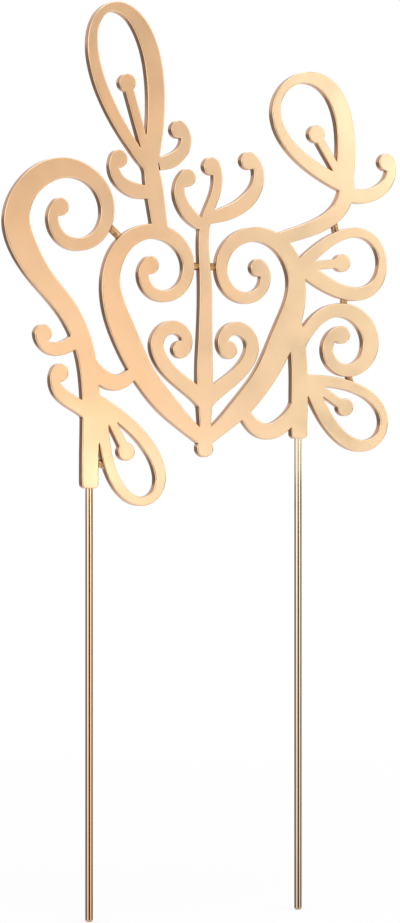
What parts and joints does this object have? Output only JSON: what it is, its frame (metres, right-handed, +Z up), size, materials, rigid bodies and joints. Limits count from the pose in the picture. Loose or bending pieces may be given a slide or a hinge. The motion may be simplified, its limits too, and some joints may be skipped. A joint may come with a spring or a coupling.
{
  "type": "cake topper",
  "caption": "Gold metal cake topper: an openwork panel of flat scrolls, leaf loops and beaded curls on round stakes that push into a cake.",
  "frame": {"origin": "on the level of the stakes' tips, under the middle of the panel's width and thickness", "axes": "+Z up along the stakes, +X to the right as seen from the front, and the front faces -Y"},
  "size_m": [0.1128, 0.0024, 0.2372],
  "materials": {
    "plate": "satin gold plate",
    "peg": "satin gold plate",
    "stake": "polished gold plate"
  },
  "bodies": {
    "root": {"centre_stem": "plate", "right_stem": "plate", "heart_left_scroll": "plate", "heart_right_scroll": "plate", "left_s_scroll": "plate", "right_volute": "plate", "heart_left_tendril": "plate", "heart_right_tendril": "plate", "tall_leaf": "plate", "round_leaf": "plate", "side_leaf": "plate", "hanging_leaf": "plate", "lower_leaf": "plate", "left_sprig": "plate", "right_sprig": "plate", "tall_leaf_left_curl": "plate", "tall_leaf_right_curl": "plate", "round_leaf_curl": "plate", "left_upper_curl": "plate", "left_lower_curl": "plate", "left_swag": "plate", "right_swag": "plate", "left_scroll_peg": "peg", "heart_left_peg": "peg", "heart_right_peg": "peg", "side_leaf_peg": "peg", "volute_peg": "peg", "lower_leaf_peg": "peg", "hanging_leaf_peg": "peg", "left_stake": "stake", "right_stake": "stake"}
  },
  "joints": []
}
